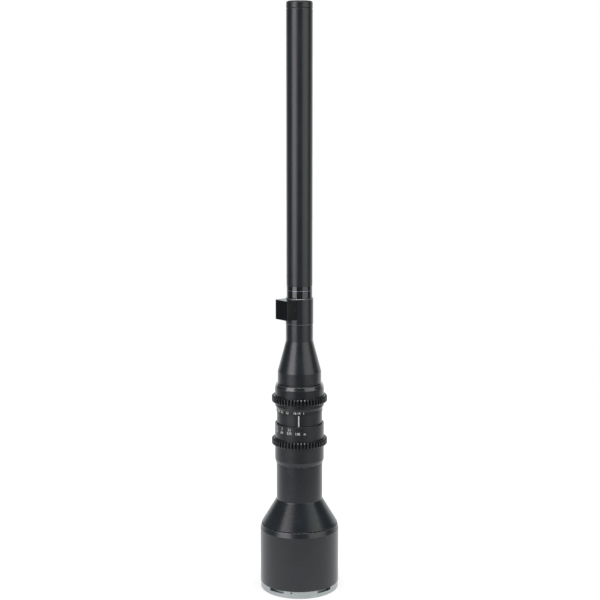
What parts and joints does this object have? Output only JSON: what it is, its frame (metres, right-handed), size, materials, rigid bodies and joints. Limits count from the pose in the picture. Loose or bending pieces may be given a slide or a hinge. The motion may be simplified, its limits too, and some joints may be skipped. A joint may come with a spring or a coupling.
{
  "type": "probe macro lens",
  "caption": "Long probe macro lens: camera mount, wide rear housing, geared focus and aperture rings, conical barrel and a thin front tube with lamps in its tip.",
  "frame": {"origin": "centre of the camera mount's seat face, on the optical axis", "axes": "+Z along the optical axis towards the tip, -Y towards the side with the scales' index line"},
  "size_m": [0.0594, 0.0594, 0.4376],
  "materials": {
    "steel": "turned, bright",
    "black_shell": "satin black anodised",
    "black_ring": "satin black anodised",
    "black_tube": "satin black anodised",
    "black_block": "fine matt",
    "gloss_black": "polished black",
    "bright_washer": "polished",
    "flat_black": "flat black anodised",
    "grey_aluminium": "grey anodised",
    "brass": "turned",
    "small_steel": "plain",
    "blade_steel": "blackened",
    "glass": "coated",
    "board": "solder mask",
    "lamp": "lamp body",
    "clear_cover": "frosted",
    "seal": "matt",
    "flex": "film"
  },
  "bodies": {
    "barrel": {"mount_ring": "steel", "mount_screws": "steel", "grub_screw": "small_steel", "rear_housing": "black_shell", "rear_baffle": "flat_black", "bell": "black_shell", "rear_lens": "glass", "rear_lens_ring": "flat_black", "guide_barrel": "grey_aluminium", "index_barrel": "black_shell", "iris_base": "grey_aluminium", "front_barrel": "black_shell", "barrel_lens": "glass", "barrel_lens_ring": "flat_black", "port_collar": "black_shell", "port_block": "black_block", "micro_socket": "small_steel", "port_board": "board", "port_lamp": "lamp", "flex_lead": "flex", "lower_joint_ring": "gloss_black", "joint_washer": "bright_washer", "upper_joint_ring": "gloss_black", "probe_tube": "black_tube", "relay_tube": "grey_aluminium", "relay_lens_1": "glass", "relay_lens_2": "glass", "relay_lens_3": "glass", "relay_lens_4": "glass", "relay_lens_5": "glass", "relay_spacer_1": "flat_black", "relay_spacer_2": "flat_black", "relay_spacer_3": "flat_black", "relay_spacer_4": "flat_black", "relay_ring": "flat_black", "tip_seal": "seal", "tip_ring": "black_tube", "lamp_board": "board", "lamps": "lamp", "light_cover": "clear_cover", "front_lens_cell": "flat_black", "front_lens": "glass"},
    "aperture": {"aperture_ring": "black_ring", "iris_cam_ring": "brass", "link_screws": "small_steel"},
    "focus": {"focus_ring": "black_ring", "focus_cam_sleeve": "brass"},
    "carrier": {"focus_carrier": "grey_aluminium", "cam_pins": "brass", "focus_lens_rear": "glass", "focus_lens_front": "glass", "focus_lens_ring": "flat_black"},
    "blade_1": {"iris_blade_1": "blade_steel"},
    "blade_2": {"iris_blade_2": "blade_steel"},
    "blade_3": {"iris_blade_3": "blade_steel"},
    "blade_4": {"iris_blade_4": "blade_steel"},
    "blade_5": {"iris_blade_5": "blade_steel"},
    "blade_6": {"iris_blade_6": "blade_steel"},
    "blade_7": {"iris_blade_7": "blade_steel"}
  },
  "joints": [
    {"name": "aperture_turn", "type": "hinge", "parent": "barrel", "child": "aperture", "pos_m": [0, 0, 0.1478], "axis": [0, 0, 1], "range_deg": [0, 60]},
    {"name": "focus_turn", "type": "hinge", "parent": "barrel", "child": "focus", "pos_m": [0, 0, 0.1129], "axis": [0, 0, 1], "range_deg": [0, 140]},
    {"name": "carrier_slide", "type": "slide", "parent": "barrel", "child": "carrier", "axis": [0, 0, 1], "range_m": [0, 0.01201]},
    {"name": "blade_1_swing", "type": "hinge", "parent": "barrel", "child": "blade_1", "pos_m": [0.0101, 0, 0.145], "axis": [0, 0, 1], "range_deg": [0, 20.78]},
    {"name": "blade_2_swing", "type": "hinge", "parent": "barrel", "child": "blade_2", "pos_m": [0.0063, 0.0079, 0.145], "axis": [0, 0, 1], "range_deg": [0, 20.78]},
    {"name": "blade_3_swing", "type": "hinge", "parent": "barrel", "child": "blade_3", "pos_m": [-0.00225, 0.00985, 0.145], "axis": [0, 0, 1], "range_deg": [0, 20.78]},
    {"name": "blade_4_swing", "type": "hinge", "parent": "barrel", "child": "blade_4", "pos_m": [-0.0091, 0.00438, 0.145], "axis": [0, 0, 1], "range_deg": [0, 20.78]},
    {"name": "blade_5_swing", "type": "hinge", "parent": "barrel", "child": "blade_5", "pos_m": [-0.0091, -0.00438, 0.145], "axis": [0, 0, 1], "range_deg": [0, 20.78]},
    {"name": "blade_6_swing", "type": "hinge", "parent": "barrel", "child": "blade_6", "pos_m": [-0.00225, -0.00985, 0.145], "axis": [0, 0, 1], "range_deg": [0, 20.78]},
    {"name": "blade_7_swing", "type": "hinge", "parent": "barrel", "child": "blade_7", "pos_m": [0.0063, -0.0079, 0.145], "axis": [0, 0, 1], "range_deg": [0, 20.78]}
  ],
  "couplings": [
    {"joint": "carrier_slide", "follows": "focus_turn", "m_per_rad": 0.0049111},
    {"joint": "blade_1_swing", "follows": "aperture_turn", "ratio": 0.34604},
    {"joint": "blade_2_swing", "follows": "aperture_turn", "ratio": 0.34604},
    {"joint": "blade_3_swing", "follows": "aperture_turn", "ratio": 0.34604},
    {"joint": "blade_4_swing", "follows": "aperture_turn", "ratio": 0.34604},
    {"joint": "blade_5_swing", "follows": "aperture_turn", "ratio": 0.34604},
    {"joint": "blade_6_swing", "follows": "aperture_turn", "ratio": 0.34604},
    {"joint": "blade_7_swing", "follows": "aperture_turn", "ratio": 0.34604}
  ]
}
